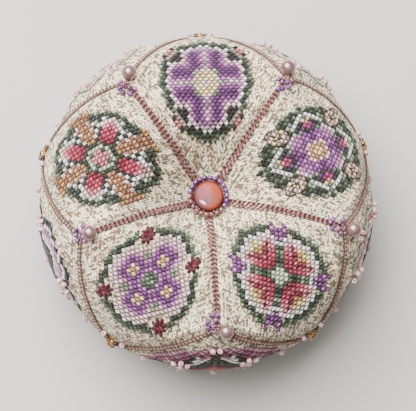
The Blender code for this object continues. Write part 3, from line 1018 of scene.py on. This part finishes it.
def make_button_ring():
    """Longer seed beads threaded close in a ring round the button, purple above and rose brown below,
    a painted shade.
    """
    low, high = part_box("button_beads")
    ring = 0.5 * (high.x - low.x) - SEED_R
    turn = 2 * math.pi * np.arange(RING_BEADS) / RING_BEADS
    level = 0.5 * (low.z + high.z) + 0 * turn
    centres = np.stack([AXIS[0] + ring * np.cos(turn), AXIS[1] + ring * np.sin(turn), level], -1)
    axes = np.stack([-np.sin(turn), np.cos(turn), 0 * turn], -1)
    dyes = shades(RING_BEADS, 0.15, (0.6, 0.42, 0.62))
    # Painted shade on the lower side of the ring
    shaded_side = np.sin(turn + math.radians(25)) < -0.2
    dyes[shaded_side, :3] *= RING_SHADE_TINT
    seeds = bead_set("button_seeds", LONG_SEED, centres, axes, SEED_R, dyes, PURPLE_GLASS)
    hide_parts("button_beads")


# Camera, light and floor

def make_stage():
    """Pale matt tabletop, a large soft light from the upper left and a pale surround."""
    half = 1.5
    corners = [(half * x, half * y, 0) for x, y in ((-1, -1), (1, -1), (1, 1), (-1, 1))]
    mesh = bpy.data.meshes.new("tabletop")
    mesh.from_pydata(corners, [], [(0, 1, 2, 3)])
    mesh.materials.append(new_material("painted_tabletop", tabletop_look, Roughness=0.85))
    table = new_object("tabletop", mesh)
    table.location = (0, 0, -0.05 * MM)
    world = bpy.data.worlds.new("studio")
    world.use_nodes = True
    background = world.node_tree.nodes["Background"]
    connect(world.node_tree, background, {"Color": linear("#F3F1EE"), "Strength": 0.28})
    bpy.context.scene.world = world
    # Azimuth and elevation in degrees, distance and size in metres, power in watts
    for name, azimuth, elevation, distance, size, power in (
        ("key", 126, 60, 0.75, 0.7, 30.5), ("fill", 225, 80, 0.9, 0.6, 3.0),
    ):
        light = bpy.data.lights.new(name, "AREA")
        light.size = size
        light.energy = power
        azimuth, elevation = math.radians(azimuth), math.radians(elevation)
        lamp = new_object(name, light)
        lamp.location = polar(distance * math.cos(elevation), azimuth, distance * math.sin(elevation))
        lamp.rotation_euler = (-lamp.location).to_track_quat("-Z", "Y").to_euler()


def make_camera():
    """Looks from almost straight above at the middle of the widest ring, seen at centre_x, centre_y."""
    width, height = 416, 411
    lean, towards, roll = np.radians([8.9, 245.3, -2.5])
    distance, focal_px = 530 * MM, 1557
    centre_x, centre_y = 205.8, 202.1
    back = Vector(polar(math.sin(lean), towards, math.cos(lean)))
    up = (Vector((0, 1, 0)) - back * back.y).normalized()
    right = up.cross(back)
    turned_right = math.cos(roll) * right + math.sin(roll) * up
    turned_up = -math.sin(roll) * right + math.cos(roll) * up
    data = bpy.data.cameras.new("camera")
    data.sensor_width = 36
    data.lens = data.sensor_width * focal_px / width
    data.shift_x = (0.5 * width - centre_x) / width
    data.shift_y = (centre_y - 0.5 * height) / width
    data.clip_start = 0.05
    data.clip_end = 20
    camera = new_object("camera", data)
    camera.matrix_world = Matrix((turned_right, turned_up, back)).transposed().to_4x4()
    camera.location = Vector(AXIS) + distance * back
    bpy.context.scene.camera = camera


# Making

LINEN = new_material("evenweave_linen", linen_look, Roughness=0.88, Sheen_Weight=0.12, Sheen_Roughness=0.6)
COTTON = new_material(
    "stranded_cotton", cotton_look, Roughness=0.38, Specular_IOR_Level=0.3, Sheen_Weight=0.1,
    Sheen_Roughness=0.4,
)
PURPLE_GLASS = bead_glass("purple_glass", "#421E50", "#80528A")
GOLD_GLASS = bead_glass("gold_lined_glass", "#5A3A14", "#AE803A", 0.18, 0.5)
PALE_GLASS = bead_glass("pale_pearled_glass", "#B07C84", "#D8AEAC", 0.2)
PEARL = new_material(
    "pearl_lacquer", pearl_look, Roughness=0.21, IOR=1.6, Specular_IOR_Level=1.0, Coat_Weight=0.6,
    Coat_Roughness=0.03,
)
BANDED_GLASS = new_material(
    "banded_glass", button_look, Roughness=0.35, Specular_IOR_Level=0.05, Coat_Weight=0.1,
    Coat_Roughness=0.08,
)

make_camera()
make_stage()

surface = cushion_grids(SURFACE_STEPS)
grid_steps = np.linspace(0, 1, SURFACE_STEPS + 1)
surface += finer(settle_cloth(cushion_grids(CLOTH_STEPS)), SURFACE_STEPS)
surface[..., 2] = np.maximum(surface[..., 2], 0)
to_edge = SIDE * np.minimum(grid_steps, 1 - grid_steps)
groove = GROOVE_DEPTH * np.exp(-(np.minimum(to_edge[:, None], to_edge[None]) / GROOVE_WIDTH) ** 2)
surface[FOLDS:, ..., 2] = np.maximum(surface[FOLDS:, ..., 2], groove)

cushion_points, cushion_number = weld(surface)
finely = np.linspace(0, 1, 4 * THREADS + 1)
counted = THREADS * np.array(
    [np.interp(grid_steps, eased(panel, finely), finely) for panel in range(3 * FOLDS)]
)
panel_shift = 2 * THREADS * np.arange(3 * FOLDS)[:, None, None]
grid_uv = np.stack(np.broadcast_arrays(counted[:, :, None] + panel_shift, counted[:, None, :]), -1)
corner_order = grid_faces(np.arange(surface[..., 0].size).reshape(surface.shape[:3]))
# Painted shade: the cloth is darker between the embroidery stitches
cushion_shade = np.ones((len(cushion_points), 4))
cushion_shade[cushion_number, :3] = shade_of_cloth(counted, TOP_CHARTS + SIDE_CHARTS)[..., None]
cushion = new_piece(
    "linen_cushion", cushion_points, grid_faces(cushion_number).tolist(), LINEN,
    grid_uv.reshape(-1, 2)[corner_order.ravel()], cushion_shade,
)
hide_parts("cushion")

cloth = Cloth(surface)
for k in range(FOLDS):
    make_roundel(f"embroidery_top_{k + 1}", cloth, k, TOP_CHARTS[k], TOP_LINES[k])
    make_roundel(f"embroidery_side_{k + 1}", cloth, FOLDS + k, SIDE_CHARTS[k], ())
make_seams(cloth, "top", 0.9, -0.2, TOP_SEAM)
make_seams(cloth, "rim", 0.5, 0.0, RIM_SEAM)
make_seams(cloth, "base", 0.5, 0.0, RIM_SEAM)
make_pearls(cloth)
make_gold_seeds()
make_amber_seeds(cloth)
make_button()
make_button_ring()
make_pale_seeds(cloth)
